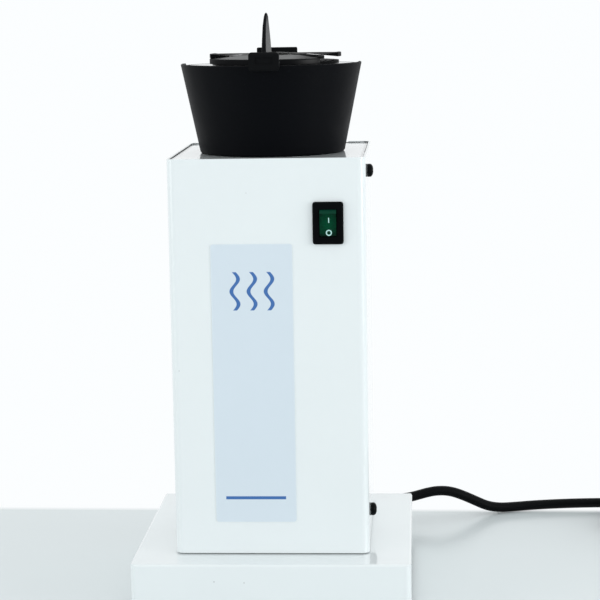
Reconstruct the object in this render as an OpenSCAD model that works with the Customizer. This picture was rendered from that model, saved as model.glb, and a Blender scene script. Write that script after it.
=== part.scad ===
// Eyeglass frame warmer: a hot air tower on a square base, with a cup and a rotary shutter on top.
// Millimetres. X to the right, Y to the back, Z up. The origin is on the table, under the base's centre.

/* [Base] */
// Width of the square base
base_w = 140; // [130:1:160]
// Height of the base's top above the table
base_top = 30; // [26:1:40]
// Height of the rubber feet
foot_h = 3.2; // [2:0.2:5]
// Sheet thickness of the base
base_t = 1.5; // [1:0.1:2]

/* [Tower] */
// Width of the tower
tower_w = 98; // [92:1:104]
// Depth of the tower
tower_d = 108; // [104:1:112]
// Height of the tower's rim above the table
tower_top = 230; // [226:1:250]
// How far the tower's middle lies behind the base's middle
tower_y = 2.5; // [0:0.5:4]
// Outer radius of the tower's upright corners
tower_r = 4; // [3:0.5:7]
// Sheet thickness of the tower's cover
cover_t = 1; // [0.8:0.1:1.5]
// How far the top plate lies below the cover's rim
plate_drop = 0.7; // [0.4:0.1:1]

/* [Cup] */
// Outer radius of the cup's foot
cup_foot_r = 37.2; // [34:0.1:40]
// Outer radius of the cup's rim
cup_rim_r = 46.3; // [43:0.1:48]
// Height of the cup's rim above the table
cup_top = 274.8; // [265:0.1:290]
// Wall thickness of the cup
cup_t = 1.6; // [1.2:0.1:2.5]

/* [Lid] */
// Distance from the cup's axis to the shutter's axis
lid_x = 2.3; // [0:0.1:3]
// Outer radius of the shutter's skirt
shutter_r = 33.7; // [31:0.1:36]
// Outer radius of the two fixed wings
wing_r = 33.6; // [31:0.1:37]
// Half of the angle that each fixed wing covers
wing_half = 16; // [12:1:30]
// Angle of the shutter's window, all of it
window_angle = 90; // [60:1:110]
// Height of the finger fin's tip above the table
fin_top = 300.2; // [290:0.1:310]
// Angle of the fin from straight ahead, towards the left
fin_turn = 6.1; // [0:0.1:20]

/* [Switch] */
// Width of the switch's bezel
bezel_w = 15.2; // [14:0.1:17]
// Height of the switch's bezel
bezel_h = 20.9; // [19:0.1:23]
// Distance from the tower's middle to the switch's middle
switch_x = 30.4; // [24:0.1:34]
// Height of the switch's middle above the table
switch_z = 198; // [160:1:205]
// Tilt of the rocker to each side
rocker_tilt = 9; // [7:0.5:11]

/* [Label] */
// Width of the label
label_w = 40.5; // [36:0.5:44]
// Height of the label
label_h = 141; // [120:1:145]
// Distance from the tower's middle to the label's middle
label_x = -7.7; // [-12:0.1:0]
// Height of the label's middle above the table
label_z = 117.4; // [108:0.1:125]

/* [Fan and heater] */
// Number of blades on the fan
blades = 7; // [5:1:9]
// Radius of the fan's blade tips
fan_r = 40; // [36:0.5:41]
// Outer radius of the heater's tube
tube_r = 35; // [30:0.5:35]
// Turns of the heating wire
wire_turns = 9; // [6:1:10]

/* [Cord] */
// Diameter of the mains lead
cord_d = 5.8; // [5:0.1:6.5]

/* [Hidden] */
$fn = 64;
eps = 0.01;

// Base
foot_r = 8;
foot_at = 52;
base_screw_at = 61;
base_screw_r = 1.5;
floor_top = foot_h + base_t;
relief_x = 50;
relief_z = 17;
relief_hole_r = 5;

// Tower
tower_foot = base_top + 0.6;
front_y = tower_y - tower_d / 2;
back_y = tower_y + tower_d / 2;
inner_w = tower_w - 2 * cover_t;
inner_front = front_y + cover_t;
inner_back = back_y - cover_t;
plate_top = tower_top - plate_drop;
plate_t = 1.2;
return_w = 12;
side_screw_y = -14;
side_screw_z = [43.8, 220.4];
chassis_t = 1.5;
upright_w = 30;
upright_y = side_screw_y - upright_w / 2;
label_t = 0.3;
tower_screw_x = 40;
tower_screw_y = [-41, 46];
rear_screw_x = 41;
rear_screw_z = [46, 214];

// Air path
air_hole_r = 38;
shroud_floor = tower_foot + chassis_t;
shroud_r = fan_r + 2;
shroud_top = 62;
motor_r = 16.8;
motor_foot = 56;
motor_top = 80;
shaft_r = 1.5;
fan_z = 46;
tube_foot = 94;
tube_top = 222;
tube_t = 0.8;
collar_r = 29.5;
collar_top = plate_top + 8;

wire_r = 26;
wire_foot = 112;
wire_pitch = 9.5;

// Lid levels
mouth_z = 272.6;
disc_foot = mouth_z + 1.2;
rear_rim = disc_foot;
rim_step_y = 5;
disc_top = 275.8;
disc_r = 32.4;
skirt_z = 274.75;
shutter_rim = 277.4;
shutter_slope = 5.2;
wing_foot = 277.7;
wing_top = 279.7;
pivot_r = 3;
lid_hub = 18;
hub_top = wing_top + 0.1;
vent_in = 12;
vent_out = 29;

// Switch
pivot_in = 4.4;
bezel_out = 1.9;
housing_d = 14;
rocker_r = 7.78;
rocker_w = 8.2;
rocker_y = front_y - bezel_out + pivot_in;

// A turn about Z that brings +X to the front
FRONT = -90;

// Lead: from the strain relief behind the base, over a low arch, along the table and into its coil
lead_path = [
    [50, 92, 17], [50, 98, 17], [51.3, 106.5, 16.7], [55, 114, 16], [60.6, 119.9, 15.3],
    [67.3, 123.4, 14.9], [76.8, 125.6, 15.6], [84.5, 127.6, 16.4], [92.2, 129.4, 15.4],
    [99.4, 131.2, 12.7], [107.2, 133.2, 8.8], [114.4, 135.5, 5.2], [121.5, 138, 3.4],
    [130, 141, 2.9], [141, 144.2, 2.9], [154, 147, 2.9], [168, 149, 2.9], [182, 150, 2.9],
    [195, 150.3, 2.9], [208, 150.3, 2.9], [221, 150, 2.9]
];
// Coil: six strands, two wide and three high, and one more on top for its last turn
coil_at = [221, 114];
coil_r = 33;
coil_w = 2 * cord_d;
coil_h = 3 * cord_d;
coil_turns = 6.25;
climb_start = 5.28;
climb_end = 5.5;
climb_h = 5;
plug_at = [254, 78, 18.5];

// Place on the coil's last turn, where the lead climbs from the inner strand to the groove on top
function last_turn(turn) =
    let (t = min(1, (turn - climb_start) / (climb_end - climb_start)))
    let (climb = t * t * (3 - 2 * t))
    let (r = coil_r - (1 - climb) * cord_d / 2)
    [
        coil_at[0] + r * sin(360 * turn),
        coil_at[1] + r * cos(360 * turn),
        coil_h - cord_d / 2 + climb * climb_h
    ];

// Tail: the coil's last turn and the way down to the plug
tail_path = concat(
    [for (i = [0:16]) last_turn(climb_start + (coil_turns - climb_start) * i / 16)],
    [[254, 106, 19.3], [254, 98, 18.9], [254, 90, 18.6], [254, 84, 18.5], plug_at]
);

// Shared shapes ---------------------------------------------------------------------------------

module rounded(w, d, r) {
    square([w - 2 * r, d], center = true);
    square([w, d - 2 * r], center = true);
    for (x = [-1, 1], y = [-1, 1])
        translate([x * (w / 2 - r), y * (d / 2 - r)])
            circle(r);
}

// A profile in XZ, drawn out along Y between two places
module along_y(y0, y1) {
    translate([0, y1, 0])
        rotate([90, 0, 0])
            linear_extrude(y1 - y0)
                children();
}

// A profile in YZ, drawn out along X between two places
module along_x(x0, x1) {
    translate([x0, 0, 0])
        rotate([90, 0, 90])
            linear_extrude(x1 - x0)
                children();
}

// Box with round upright corners and round upper edges, standing on z = 0
module soft_box(w, d, h, corner, edge) {
    intersection() {
        linear_extrude(h)
            rounded(w, d, corner);
        along_y(-d, d)
            top_rounded(w, h, edge);
        along_x(-w, w)
            top_rounded(d, h, edge);
    }
}

module top_rounded(w, h, r) {
    translate([-w / 2, -1])
        square([w, h + 1 - r]);
    translate([-w / 2 + r, -1])
        square([w - 2 * r, h + 1]);
    for (x = [-1, 1])
        translate([x * (w / 2 - r), h - r])
            circle(r);
}

// Slot with round ends, long in X
module slot(length, width) {
    square([length - width, width], center = true);
    for (x = [-1, 1])
        translate([x * (length - width) / 2, 0])
            circle(width / 2, $fn = 24);
}

// Wedge of a circle between two angles, as a plane outline
module wedge(from, to, r) {
    steps = ceil((to - from) / 30);
    far = r / cos((to - from) / steps / 2);
    polygon(concat([[0, 0]], [
        for (i = [0:steps])
            far * [cos(from + (to - from) * i / steps), sin(from + (to - from) * i / steps)]
    ]));
}

// Pan head screw standing on z = 0, with its shank below
module pan_screw(head_r, head_h, shank_r, shank_l) {
    crown = head_h * 0.45;
    rotate_extrude()
        polygon([
            [0, -shank_l], [shank_r - 0.3, -shank_l], [shank_r, -shank_l + 0.3], [shank_r, 0],
            [head_r, 0], [head_r, head_h - crown], [head_r * 0.93, head_h - crown * 0.45],
            [head_r * 0.75, head_h - crown * 0.12], [head_r * 0.5, head_h], [0, head_h]
        ]);
}

// Tube swept along points, with flat ends
function heading(p, i) =
    let (d = p[min(i + 1, len(p) - 1)] - p[max(i - 1, 0)])
    d / norm(d);
function side_of(t) =
    let (s = cross(abs(t[2]) > 0.9 ? [1, 0, 0] : [0, 0, 1], t))
    s / norm(s);

module swept(p, r, sides) {
    n = len(p);
    rings = [
        for (i = [0:n - 1])
            let (t = heading(p, i), s = side_of(t), u = cross(t, s))
            for (k = [0:sides - 1])
                p[i] + r * (cos(360 * k / sides) * s + sin(360 * k / sides) * u)
    ];
    walls = [
        for (i = [0:n - 2], k = [0:sides - 1])
            let (a = i * sides + k, b = i * sides + (k + 1) % sides)
            each [[a, a + sides, b], [b, a + sides, b + sides]]
    ];
    ends = [
        [for (k = [0:sides - 1]) k],
        [for (k = [0:sides - 1]) n * sides - 1 - k]
    ];
    polyhedron(rings, concat(walls, ends));
}

// Base ------------------------------------------------------------------------------------------

module base_shell() {
    color("#e6ecee")
        difference() {
            union() {
                translate([0, 0, foot_h - 0.2])
                    difference() {
                        soft_box(base_w, base_w, base_top - foot_h + 0.2, 3, 1.2);
                        translate([0, 0, -eps])
                            linear_extrude(base_top - foot_h + 0.2 - base_t + eps)
                                rounded(base_w - 2 * base_t, base_w - 2 * base_t, 1.5);
                    }
                for (x = [-1, 1], y = [-1, 1])
                    corner_tab(x, y);
            }
            translate([0, 0, base_top - 5])
                cylinder(r = air_hole_r, h = 10);
            for (x = [-1, 1], y = tower_screw_y)
                translate([x * tower_screw_x, y, base_top - 5])
                    cylinder(r = 2.2, h = 10, $fn = 32);
            translate([relief_x, base_w / 2 - 5, relief_z])
                rotate([-90, 0, 0])
                    cylinder(r = relief_hole_r, h = 10);
            for (x = [-1, 1], y = [-1, 1])
                translate([x * base_screw_at, y * base_screw_at, 0])
                    cylinder(r = base_screw_r, h = 10, $fn = 32);
        }
}

// Tab inside a lower corner of the base, which a floor screw goes into
module corner_tab(x, y) {
    w = 14;
    edge = base_w / 2 - base_t / 2;
    translate([min(x * edge, x * (edge - w)), min(y * edge, y * (edge - w)), floor_top])
        cube([w, w, base_t]);
}

module base_plate() {
    side = base_w - 2 * base_t - 0.6;
    color("#d8dcde")
        translate([0, 0, foot_h])
            linear_extrude(base_t)
                difference() {
                    rounded(side, side, 1.4);
                    for (i = [-4:4])
                        translate([0, i * 8])
                            slot(64 - abs(i) * 4, 4);
                    for (x = [-1, 1], y = [-1, 1])
                        translate([x * base_screw_at, y * base_screw_at])
                            circle(base_screw_r + 0.2, $fn = 32);
                }
}

module rubber_feet() {
    color("#1c1c1e")
        for (x = [-1, 1], y = [-1, 1])
            translate([x * foot_at, y * foot_at, 0])
                rotate_extrude()
                    polygon([
                        [0, 0.8], [2.5, 0.8], [2.5, 0], [foot_r - 1.6, 0], [foot_r - 1, 0.6],
                        [foot_r, foot_h], [0, foot_h]
                    ]);
}

module base_screws() {
    color("#9a9da0")
        for (x = [-1, 1], y = [-1, 1])
            translate([x * base_screw_at, y * base_screw_at, foot_h])
                mirror([0, 0, 1])
                    pan_screw(2.8, 1.8, base_screw_r, 5);
}

module terminal_block() {
    ways = 3;
    pitch = 10;
    depth = 14;
    height = 12;
    groove = 1.6;
    color("#e9e6dc")
        translate([-58, 22, floor_top])
            difference() {
                cube([depth, ways * pitch, height]);
                for (i = [0:ways - 1])
                    translate([0, pitch * (i + 0.5), 0]) {
                        for (x = [-1, 1])
                            translate([depth / 2 + x * 3.2, 0, height / 2])
                                cylinder(r = 1.8, h = height, $fn = 24);
                        translate([-1, 0, height / 3])
                            rotate([0, 90, 0])
                                cylinder(r = 1.6, h = depth + 2, $fn = 24);
                    }
                for (i = [1:ways - 1])
                    translate([-1, pitch * i - groove / 2, height - 5])
                        cube([depth + 2, groove, height]);
            }
}

module earth_screw() {
    shank = 2;
    nut_h = 3;
    color("#c9a24a")
        translate([-50, -45, floor_top]) {
            rotate_extrude()
                polygon([
                    [0, 0], [5, 0], [5, 0.8], [3.6, 0.8], [3.6, 1.6], [shank, 1.6], [shank, 9], [0, 9]
                ]);
            translate([0, 0, nut_h])
                difference() {
                    cylinder(r = 2 * shank, h = nut_h, $fn = 6);
                    translate([0, 0, -eps])
                        cylinder(r = shank - eps, h = nut_h + 2 * eps);
                }
        }
}

// Tower -----------------------------------------------------------------------------------------

module tower_gasket() {
    color("#161617")
        translate([0, tower_y, base_top])
            linear_extrude(tower_foot - base_top)
                difference() {
                    rounded(tower_w - 2, tower_d - 2, tower_r - 1);
                    translate([0, -tower_y])
                        circle(air_hole_r + 1);
                    for (x = [-1, 1], y = tower_screw_y)
                        translate([x * tower_screw_x, y - tower_y])
                            circle(2.4, $fn = 32);
                }
}

module chassis_frame() {
    half = inner_w / 2;
    color("#b9bec2")
        difference() {
            union() {
                translate([0, tower_y - 0.5, tower_foot])
                    linear_extrude(chassis_t)
                        rounded(inner_w - 0.2, tower_d - 2 * cover_t - 3, tower_r);
                for (x = [0, 1])
                    mirror([x, 0, 0])
                        chassis_upright(half);
            }
            translate([0, 0, tower_foot - 1])
                cylinder(r = air_hole_r, h = 5);
            for (x = [-1, 1], y = tower_screw_y)
                translate([x * tower_screw_x, y, tower_foot - 1])
                    cylinder(r = 1.95, h = 5, $fn = 32);
            for (z = side_screw_z)
                translate([-tower_w, side_screw_y, z])
                    rotate([0, 90, 0])
                        cylinder(r = 2, h = 2 * tower_w, $fn = 32);
        }
}

// Upright with a stiffening lip on each edge and a tab that the top plate rests on
module chassis_upright(half) {
    top = plate_top - plate_t;
    lip = 5;
    lip_foot = shroud_top + 9;
    translate([half - chassis_t, upright_y, tower_foot])
        cube([chassis_t, upright_w, top - tower_foot]);
    for (y = [upright_y, upright_y + upright_w - chassis_t])
        translate([half - lip, y, lip_foot])
            cube([lip, chassis_t, top - 4 - lip_foot]);
    translate([half - 8, upright_y, top - chassis_t])
        cube([8, upright_w, chassis_t]);
}

module tower_screws() {
    color("#9a9da0")
        for (x = [-1, 1], y = tower_screw_y)
            translate([x * tower_screw_x, y, base_top - base_t])
                mirror([0, 0, 1])
                    pan_screw(3.8, 2.4, 1.9, 6);
}

module tower_cover() {
    height = tower_top - tower_foot;
    color("#eef3f4")
        difference() {
            translate([0, tower_y, tower_foot])
                linear_extrude(height)
                    difference() {
                        rounded(tower_w, tower_d, tower_r);
                        rounded(inner_w, tower_d - 2 * cover_t, tower_r - cover_t);
                        translate([0, tower_d / 2])
                            square([tower_w - 2 * return_w, 4 * cover_t], center = true);
                    }
            for (z = side_screw_z)
                translate([-tower_w, side_screw_y, z])
                    rotate([0, 90, 0])
                        cylinder(r = 2.2, h = 2 * tower_w, $fn = 32);
            for (x = [-1, 1], z = rear_screw_z)
                translate([x * rear_screw_x, back_y - 5, z])
                    rotate([-90, 0, 0])
                        cylinder(r = 1.7, h = 10, $fn = 32);
            translate([switch_x, front_y, switch_z])
                cube([13.2, 10, 19.2], center = true);
        }
}

module cover_screws() {
    color("#151517")
        for (x = [-1, 1], z = side_screw_z)
            translate([x * tower_w / 2, side_screw_y, z])
                rotate([0, x * 90, 0])
                    pan_screw(3.45, 3.3, 1.9, 6);
}

module rear_panel() {
    half = tower_w / 2 - return_w - 0.4;
    lap = 7;
    rows = 7;
    color("#eef3f4")
        difference() {
            translate([0, 0, tower_foot + 0.4])
                linear_extrude(tower_top - tower_foot - 0.8)
                    polygon([
                        [-half - lap, inner_back - 1], [half + lap, inner_back - 1],
                        [half + lap, inner_back], [half, inner_back], [half, back_y],
                        [-half, back_y], [-half, inner_back], [-half - lap, inner_back]
                    ]);
            for (i = [0:rows - 1], x = [-1, 1])
                translate([x * 17, back_y - 6, 52 + i * 7])
                    rotate([-90, 0, 0])
                        linear_extrude(12)
                            slot(26, 3);
            for (x = [-1, 1], z = rear_screw_z)
                translate([x * rear_screw_x, back_y - 5, z])
                    rotate([-90, 0, 0])
                        cylinder(r = 1.5, h = 10, $fn = 32);
        }
}

module rear_screws() {
    color("#151517")
        for (x = [-1, 1], z = rear_screw_z)
            translate([x * rear_screw_x, back_y, z])
                rotate([-90, 0, 0])
                    pan_screw(2.8, 2, 1.5, 4);
}

module top_plate() {
    w = inner_w - 1;
    d = inner_back - inner_front - 2;
    flange = 10;
    color("#e9eff1")
        difference() {
            union() {
                translate([0, tower_y - 0.5, plate_top - plate_t])
                    linear_extrude(plate_t)
                        rounded(w, d, tower_r - cover_t - 0.5);
                for (y = [inner_front + 0.6, inner_back - 3.4])
                    translate([-34, y, plate_top - plate_t - flange])
                        cube([52, plate_t, flange + eps]);
            }
            translate([0, 0, plate_top - 5])
                cylinder(r = collar_r + 0.1, h = 10);
        }
}

module label_plate() {
    color("#d7e3ea")
        translate([label_x, front_y, label_z])
            rotate([90, 0, 0])
                linear_extrude(label_t)
                    rounded(label_w, label_h, 1.5);
}

// Switch ----------------------------------------------------------------------------------------

module switch_housing() {
    color("#101214")
        difference() {
            union() {
                intersection() {
                    translate([switch_x, front_y, switch_z])
                        rotate([90, 0, 0])
                            linear_extrude(bezel_out)
                                rounded(bezel_w, bezel_h, 1.4);
                    along_x(0, 60)
                        translate([front_y, switch_z])
                            bezel_side(bezel_h);
                    linear_extrude(tower_top)
                        translate([switch_x, front_y])
                            rotate(90)
                                bezel_side(bezel_w);
                }
                translate([switch_x - 6.5, front_y - 0.5, switch_z - 9.5])
                    cube([13, housing_d + 0.5, 19]);
            }
            translate([switch_x - rocker_w / 2 - 0.3, rocker_y, switch_z])
                rotate([0, 90, 0])
                    cylinder(r = rocker_r + 0.32, h = rocker_w + 0.6);
            translate([switch_x - 5.9, rocker_y, switch_z])
                rotate([0, 90, 0])
                    cylinder(r = 1.08, h = 11.8, $fn = 32);
        }
}

// The bezel from the side, with sloping edges at its front
module bezel_side(h) {
    slope = 0.7;
    polygon([
        [1, h / 2], [-bezel_out + slope, h / 2], [-bezel_out, h / 2 - slope],
        [-bezel_out, -h / 2 + slope], [-bezel_out + slope, -h / 2], [1, -h / 2]
    ]);
}

module switch_rocker() {
    face = 4.6;
    reach = 10;
    slant = reach * tan(rocker_tilt);
    color("#0a4a3c")
        translate([switch_x, rocker_y, switch_z]) {
            rotate([rocker_tilt, 0, 0])
                along_x(-rocker_w / 2, rocker_w / 2)
                    intersection() {
                        circle(rocker_r);
                        polygon([
                            [4, -reach], [4, reach], [-face - slant, reach], [-face, 0],
                            [-face - slant, -reach]
                        ]);
                    }
            rotate([0, 90, 0])
                cylinder(r = 1, h = 11.2, center = true, $fn = 32);
        }
}

module switch_terminals() {
    color("#c9a24a")
        for (z = [-6, 0, 6])
            translate([switch_x, front_y + housing_d, switch_z + z])
                difference() {
                    translate([-2.4, 0, -0.4])
                        cube([4.8, 8, 0.8]);
                    translate([0, 5.4, -1])
                        cylinder(r = 0.8, h = 2, $fn = 24);
                }
}

// Fan and heater --------------------------------------------------------------------------------

module fan_shroud() {
    color("#2a2c2f")
        difference() {
            union() {
                rotate_extrude()
                    polygon([
                        [air_hole_r, shroud_floor], [shroud_r + 2.5, shroud_floor],
                        [shroud_r + 2.5, shroud_floor + 1.5], [shroud_r + 1.5, shroud_floor + 1.5],
                        [shroud_r + 1.5, shroud_top], [shroud_r, shroud_top],
                        [shroud_r, shroud_floor + 5], [air_hole_r, shroud_floor + 1.5]
                    ]);
                for (a = [30:120:270])
                    rotate(a)
                        translate([motor_r + 1, -3, shroud_top - 2.5])
                            cube([shroud_r - motor_r, 6, 2.5]);
                translate([0, 0, shroud_top - 5])
                    cylinder(r = motor_r + 2.5, h = 5);
            }
            translate([0, 0, shroud_top - 6])
                cylinder(r = motor_r + 0.1, h = 8);
        }
}

module fan_motor() {
    color("#8e9296")
        difference() {
            rotate_extrude()
                polygon([
                    [0, motor_foot], [5, motor_foot], [5, motor_foot + 1.5],
                    [motor_r, motor_foot + 1.5], [motor_r, motor_top - 1], [motor_r - 1, motor_top],
                    [6, motor_top], [6, motor_top + 2], [0, motor_top + 2]
                ]);
            translate([0, 0, motor_foot - 1])
                cylinder(r = shaft_r + 0.06, h = 14, $fn = 48);
        }
}

module motor_shaft() {
    color("#c4c8cc")
        translate([0, 0, fan_z - 6])
            cylinder(r = shaft_r, h = 28, $fn = 48);
}

module fan_impeller() {
    chord = 17;
    pitch = 34;
    hub_r = 9;
    color("#303236")
        difference() {
            union() {
                rotate_extrude()
                    polygon([
                        [0, fan_z - 5.5], [hub_r - 1.5, fan_z - 5.5], [hub_r, fan_z - 4],
                        [hub_r, fan_z + 5], [hub_r - 3, fan_z + 7], [0, fan_z + 7]
                    ]);
                intersection() {
                    cylinder(r = fan_r, h = 100);
                    for (i = [0:blades - 1])
                        rotate(360 * i / blades)
                            translate([hub_r - 2, 0, fan_z])
                                rotate([pitch, 0, 0])
                                    linear_extrude(1.5, center = true)
                                        polygon([
                                            [0, -chord * 0.34], [fan_r, -chord * 0.5],
                                            [fan_r, chord * 0.5], [0, chord * 0.34]
                                        ]);
                }
            }
            translate([0, 0, fan_z - 10])
                cylinder(r = shaft_r, h = 20, $fn = 48);
        }
}

module air_funnel() {
    color("#b9bec2")
        rotate_extrude()
            polygon([
                [shroud_r, shroud_top], [shroud_r + 1.2, shroud_top], [shroud_r + 1.2, shroud_top + 4],
                [tube_r + 1.2, tube_foot - 2], [tube_r + 1.2, tube_foot + 6], [tube_r + 0.2, tube_foot + 6],
                [tube_r + 0.2, tube_foot - 2.4], [shroud_r, shroud_top + 3.6]
            ]);
}

module heater_tube() {
    color("#b0b4b8")
        translate([0, 0, tube_foot])
            difference() {
                cylinder(r = tube_r, h = tube_top - tube_foot);
                translate([0, 0, -1])
                    cylinder(r = tube_r - tube_t, h = tube_top - tube_foot + 2);
            }
}

// Two sheet bands that hold the heater's tube to the uprights
module heater_bands() {
    band_h = 8;
    ear_y = side_screw_y + 2;
    reach = inner_w / 2 - chassis_t;
    color("#9ea3a7")
        for (z = [112, 196])
            translate([0, 0, z])
                difference() {
                    union() {
                        cylinder(r = tube_r + 1.2, h = band_h);
                        for (x = [-1, 1]) {
                            translate([x > 0 ? 30 : -reach, ear_y - 0.6, 0])
                                cube([reach - 30, 1.2, band_h]);
                            translate([x > 0 ? reach - 1.2 : -reach, ear_y - 10, 0])
                                cube([1.2, 10.6, band_h]);
                        }
                    }
                    translate([0, 0, -1])
                        cylinder(r = tube_r, h = band_h + 2);
                }
}

module mica_cross() {
    half = tube_r - tube_t - 0.4;
    foot = wire_foot - 8;
    height = 104;
    color("#c8b48a")
        difference() {
            for (a = [0, 90])
                rotate(a)
                    translate([-half, -0.5, foot])
                        cube([2 * half, 1, height]);
            swept(wire_path(), 1.15, 6);
        }
}

function wire_path() = [
    for (i = [0:20 * wire_turns])
        [wire_r * cos(18 * i + 9), wire_r * sin(18 * i + 9), wire_foot + wire_pitch * i / 20]
];

module heating_wire() {
    color("#8a8078")
        swept(wire_path(), 0.8, 6);
}

module thermal_cutout() {
    tab = 11;
    color("#7d7468")
        translate([0, tube_r + 0.05, 170])
            rotate([-90, 0, 0])
                difference() {
                    union() {
                        translate([-tab - 2, -4, 0])
                            cube([2 * tab + 4, 8, 0.8]);
                        cylinder(r = 8, h = 6);
                        cylinder(r = 6, h = 9);
                        for (x = [-1, 1])
                            translate([x * 4 - 0.4, -2.5, 8.9])
                                cube([0.8, 5, 7]);
                    }
                    for (x = [-1, 1])
                        translate([x * tab, 0, -1])
                            cylinder(r = 1.6, h = 4, $fn = 24);
                }
}

module outlet_collar() {
    under = plate_top - plate_t;
    color("#c2c6ca")
        rotate_extrude()
            polygon([
                [collar_r - 1.2, under - 1.5], [tube_r + 0.2, under - 1.5], [tube_r + 0.2, under - 14],
                [tube_r + 1.4, under - 14], [tube_r + 1.4, under - 1.5], [38.5, under - 1.5],
                [38.5, under], [collar_r, under], [collar_r, collar_top],
                [collar_r - 0.6, collar_top + 0.5], [collar_r - 1.2, collar_top]
            ]);
}

// Cup and lid -----------------------------------------------------------------------------------

module nozzle_cup() {
    foot = plate_top + 0.3;
    floor_t = 2;
    lean = (cup_rim_r - cup_foot_r) / (cup_top - foot);
    wide = 3 * cup_rim_r;
    color("#1a1b1d")
        difference() {
            rotate_extrude($fn = 128)
                polygon([
                    [31, foot], [cup_foot_r - 0.5, foot], [cup_foot_r, foot + 0.6],
                    [cup_rim_r - 0.1, cup_top - 0.4], [cup_rim_r - 0.5, cup_top],
                    [cup_rim_r - cup_t + 0.2, cup_top], [cup_rim_r - cup_t, cup_top - 0.3],
                    [cup_foot_r - cup_t + lean * floor_t, foot + floor_t], [31, foot + floor_t]
                ]);
            translate([-wide / 2, rim_step_y, rear_rim])
                cube([wide, wide, wide]);
        }
}

// Plate in the cup's mouth with the round disc under the shutter and a clip at the front and back
module lid_base() {
    color("#151618")
        difference() {
            union() {
                translate([0, 0, mouth_z])
                    cylinder(r = cup_rim_r - cup_t - 0.8, h = disc_foot - mouth_z, $fn = 128);
                translate([lid_x, 0, mouth_z])
                    cylinder(r = disc_r, h = disc_top - mouth_z, $fn = 128);
                difference() {
                    rim_clip(14.9, cup_top, 281.4, 1.5);
                    translate([-4.3, -cup_rim_r - 4, 275.6])
                        cube([8.6, 1.5, 3.3]);
                }
                translate([-0.3, 0, 0])
                    mirror([0, 1, 0])
                        rim_clip(21.6, rear_rim, 281.3, 0.7);
            }
            for (a = [-90, 90])
                translate([lid_x, 0, mouth_z - 1])
                    linear_extrude(10)
                        intersection() {
                            difference() {
                                circle(vent_out);
                                circle(vent_in);
                            }
                            wedge(a - 48, a + 48, vent_out);
                        }
            translate([lid_x, 0, mouth_z - 1])
                cylinder(r = pivot_r, h = 10);
        }
}

// Hook over the cup's rim at the front, seen from the side, drawn out along X
module rim_clip(width, rim, top, corner) {
    over = rim + 0.3;
    out = cup_rim_r + 0.4;
    leg_out = cup_rim_r - 3.5;
    leg_in = cup_rim_r - 5.4;
    foot = 272.2;
    clip_t = 2.6;
    intersection() {
        along_x(-width / 2, width / 2)
            polygon([
                [-leg_in, disc_foot - 0.6], [-leg_out, disc_foot - 0.6], [-leg_out, over],
                [-out, over], [-out, foot], [-out - clip_t + 0.8, foot], [-out - clip_t, foot + 0.8],
                [-out - clip_t, top - 1], [-out - clip_t + 1, top], [-out, top],
                [-out, over + 1.3], [-leg_in, over + 1.3]
            ]);
        along_y(-60, 0)
            translate([0, (foot + top) / 2])
                rounded(width, top - foot, corner);
    }
}

// Height of the cone that the shutter's upper face lies on
function cone(r, at_rim, rim) = at_rim + (rim - r) * tan(shutter_slope);

module lid_shutter() {
    skirt_t = 0.95;
    plate = 1.2;
    hub = lid_hub;
    color("#2a2d30")
        translate([lid_x, 0, 0])
            difference() {
                union() {
                    difference() {
                        rotate_extrude($fn = 128)
                            polygon([
                                [0, cone(hub, shutter_rim, shutter_r) - plate],
                                [hub, cone(hub, shutter_rim, shutter_r) - plate],
                                [shutter_r - skirt_t, shutter_rim - plate],
                                [shutter_r - skirt_t, skirt_z], [shutter_r, skirt_z],
                                [shutter_r, shutter_rim - 0.3], [shutter_r - 0.3, shutter_rim],
                                [hub, cone(hub, shutter_rim, shutter_r)],
                                [0, cone(hub, shutter_rim, shutter_r)]
                            ]);
                        translate([0, 0, skirt_z - 1])
                            linear_extrude(20)
                                difference() {
                                    wedge(-window_angle / 2, window_angle / 2, shutter_r + 1);
                                    circle(8);
                                }
                    }
                    rotate(FRONT - fin_turn)
                        shutter_fin();
                }
                translate([0, 0, skirt_z - 1])
                    cylinder(r = pivot_r + 0.08, h = 20);
            }
}

// Finger fin, standing along +X from the hub's side to the rim
module shutter_fin() {
    foot = 277.6;
    near = 16.5;
    far = 32.3;
    tip = 24.4;
    thick = 2.3;
    intersection() {
        along_y(-3, 3)
            polygon([
                [near, foot + 0.8], [far, foot - 0.6], [far - 0.1, foot + 3.4], [far - 0.8, foot + 9],
                [tip + 5.2, fin_top - 6.5], [tip + 2.5, fin_top - 2], [tip + 1.2, fin_top - 0.5],
                [tip, fin_top], [tip - 1.2, fin_top - 0.6], [tip - 2, fin_top - 2],
                [tip - 3.2, fin_top - 6.5], [near + 2.1, foot + 9], [near + 1.5, foot + 5.4]
            ]);
        along_x(near - 5, far + 5)
            for (side = [0, 1])
                mirror([side, 0])
                    polygon([
                        [0, foot - 1], [thick * 0.5, foot - 1], [thick * 0.48, foot + 5.4],
                        [thick * 0.43, foot + 9.4], [thick * 0.38, fin_top - 6.5],
                        [thick * 0.3, fin_top - 2], [thick * 0.2, fin_top - 0.5],
                        [thick * 0.1, fin_top], [0, fin_top]
                    ]);
    }
}

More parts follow.
